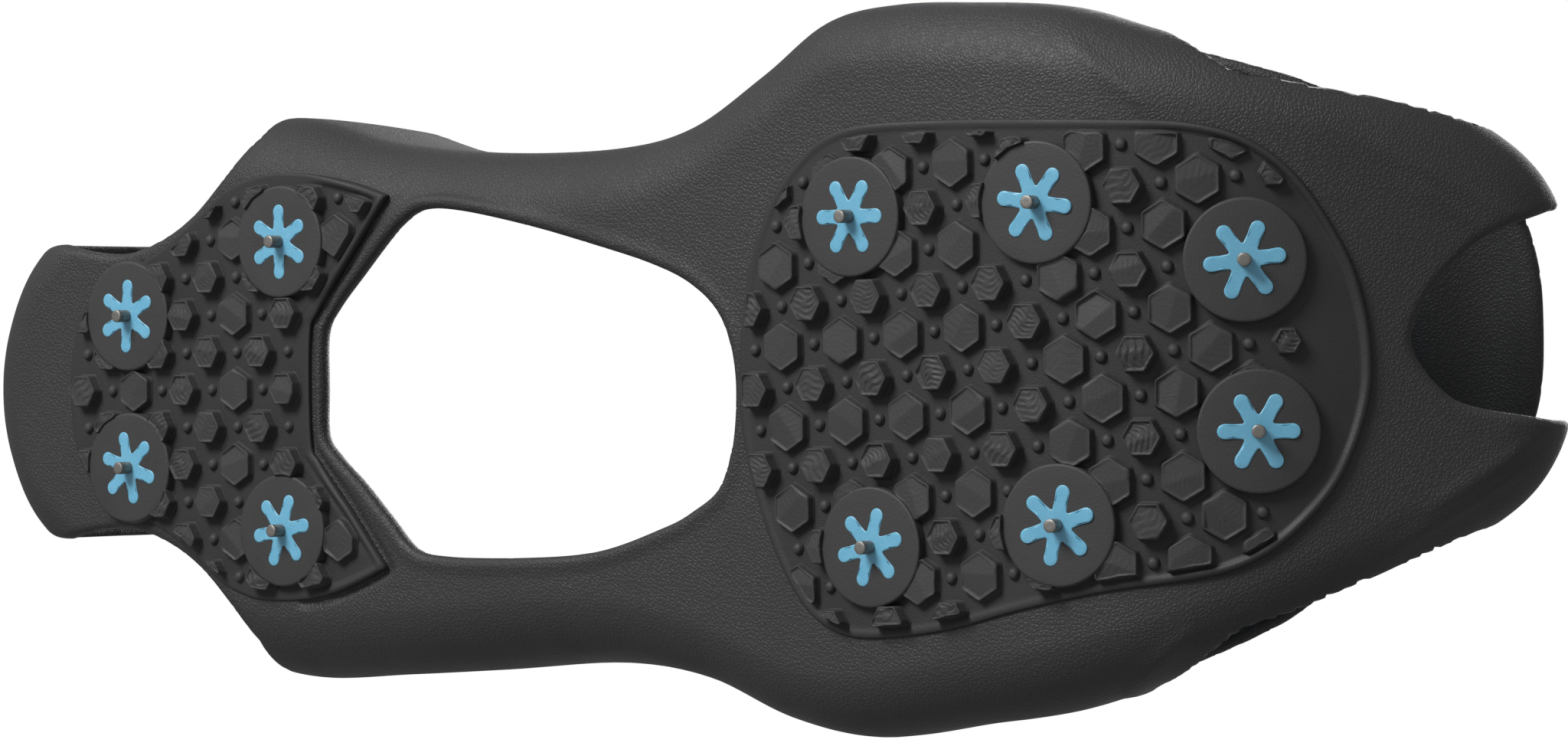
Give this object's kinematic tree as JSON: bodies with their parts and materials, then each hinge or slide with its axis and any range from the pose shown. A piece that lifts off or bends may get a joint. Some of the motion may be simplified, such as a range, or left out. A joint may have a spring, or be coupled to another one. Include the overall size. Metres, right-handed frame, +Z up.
{
  "type": "microspike overshoe",
  "caption": "Pull-on rubber harness that stretches over a boot, with two studded tread pads whose moulded inserts hold steel pins for grip on ice.",
  "frame": {"origin": "middle of the footprint's box, on the ground under the pin tips", "axes": "+X towards the toe, +Y towards the outer side of the left foot, +Z up from the ground into the boot"},
  "size_m": [0.3021, 0.1199, 0.0739],
  "materials": {
    "harness_rubber": "pebbled matte",
    "pad_rubber": "smooth matte",
    "insert_plastic": "translucent satin",
    "pin_steel": "dull, worn"
  },
  "bodies": {
    "forefoot": {"ball_pad": "pad_rubber", "ball_web": "harness_rubber", "forefoot_pad": "pad_rubber", "forefoot_pin_1": "pin_steel", "forefoot_pin_2": "pin_steel", "forefoot_pin_3": "pin_steel", "forefoot_pin_4": "pin_steel", "forefoot_pin_5": "pin_steel", "forefoot_pin_6": "pin_steel", "forefoot_star_1": "insert_plastic", "forefoot_star_2": "insert_plastic", "forefoot_star_3": "insert_plastic", "forefoot_star_4": "insert_plastic", "forefoot_star_5": "insert_plastic", "forefoot_star_6": "insert_plastic", "forefoot_web": "harness_rubber", "lateral_ball_flap": "harness_rubber", "lateral_toe_arm": "harness_rubber", "lateral_toe_rim": "harness_rubber", "lateral_waist_strap_front": "harness_rubber", "medial_ball_flap": "harness_rubber", "medial_toe_arm": "harness_rubber", "medial_toe_rim": "harness_rubber", "medial_waist_strap_front": "harness_rubber", "over_toe_band": "harness_rubber", "toe_pad": "pad_rubber", "toe_web": "harness_rubber"},
    "heel": {"heel_pad": "pad_rubber", "heel_pin_1": "pin_steel", "heel_pin_2": "pin_steel", "heel_pin_3": "pin_steel", "heel_pin_4": "pin_steel", "heel_star_1": "insert_plastic", "heel_star_2": "insert_plastic", "heel_star_3": "insert_plastic", "heel_star_4": "insert_plastic", "heel_strap": "harness_rubber", "heel_web": "harness_rubber", "lateral_heel_rim": "harness_rubber", "lateral_heel_side": "harness_rubber", "lateral_waist_strap_rear": "harness_rubber", "medial_heel_rim": "harness_rubber", "medial_heel_side": "harness_rubber", "medial_waist_strap_rear": "harness_rubber"}
  },
  "joints": [
    {"name": "waist_flex", "type": "hinge", "parent": "forefoot", "child": "heel", "pos_m": [0.006, 0, 0.0269], "axis": [0, 1, 0], "range_deg": [-8, 35], "stiffness_Nm_per_rad": 0.5}
  ]
}
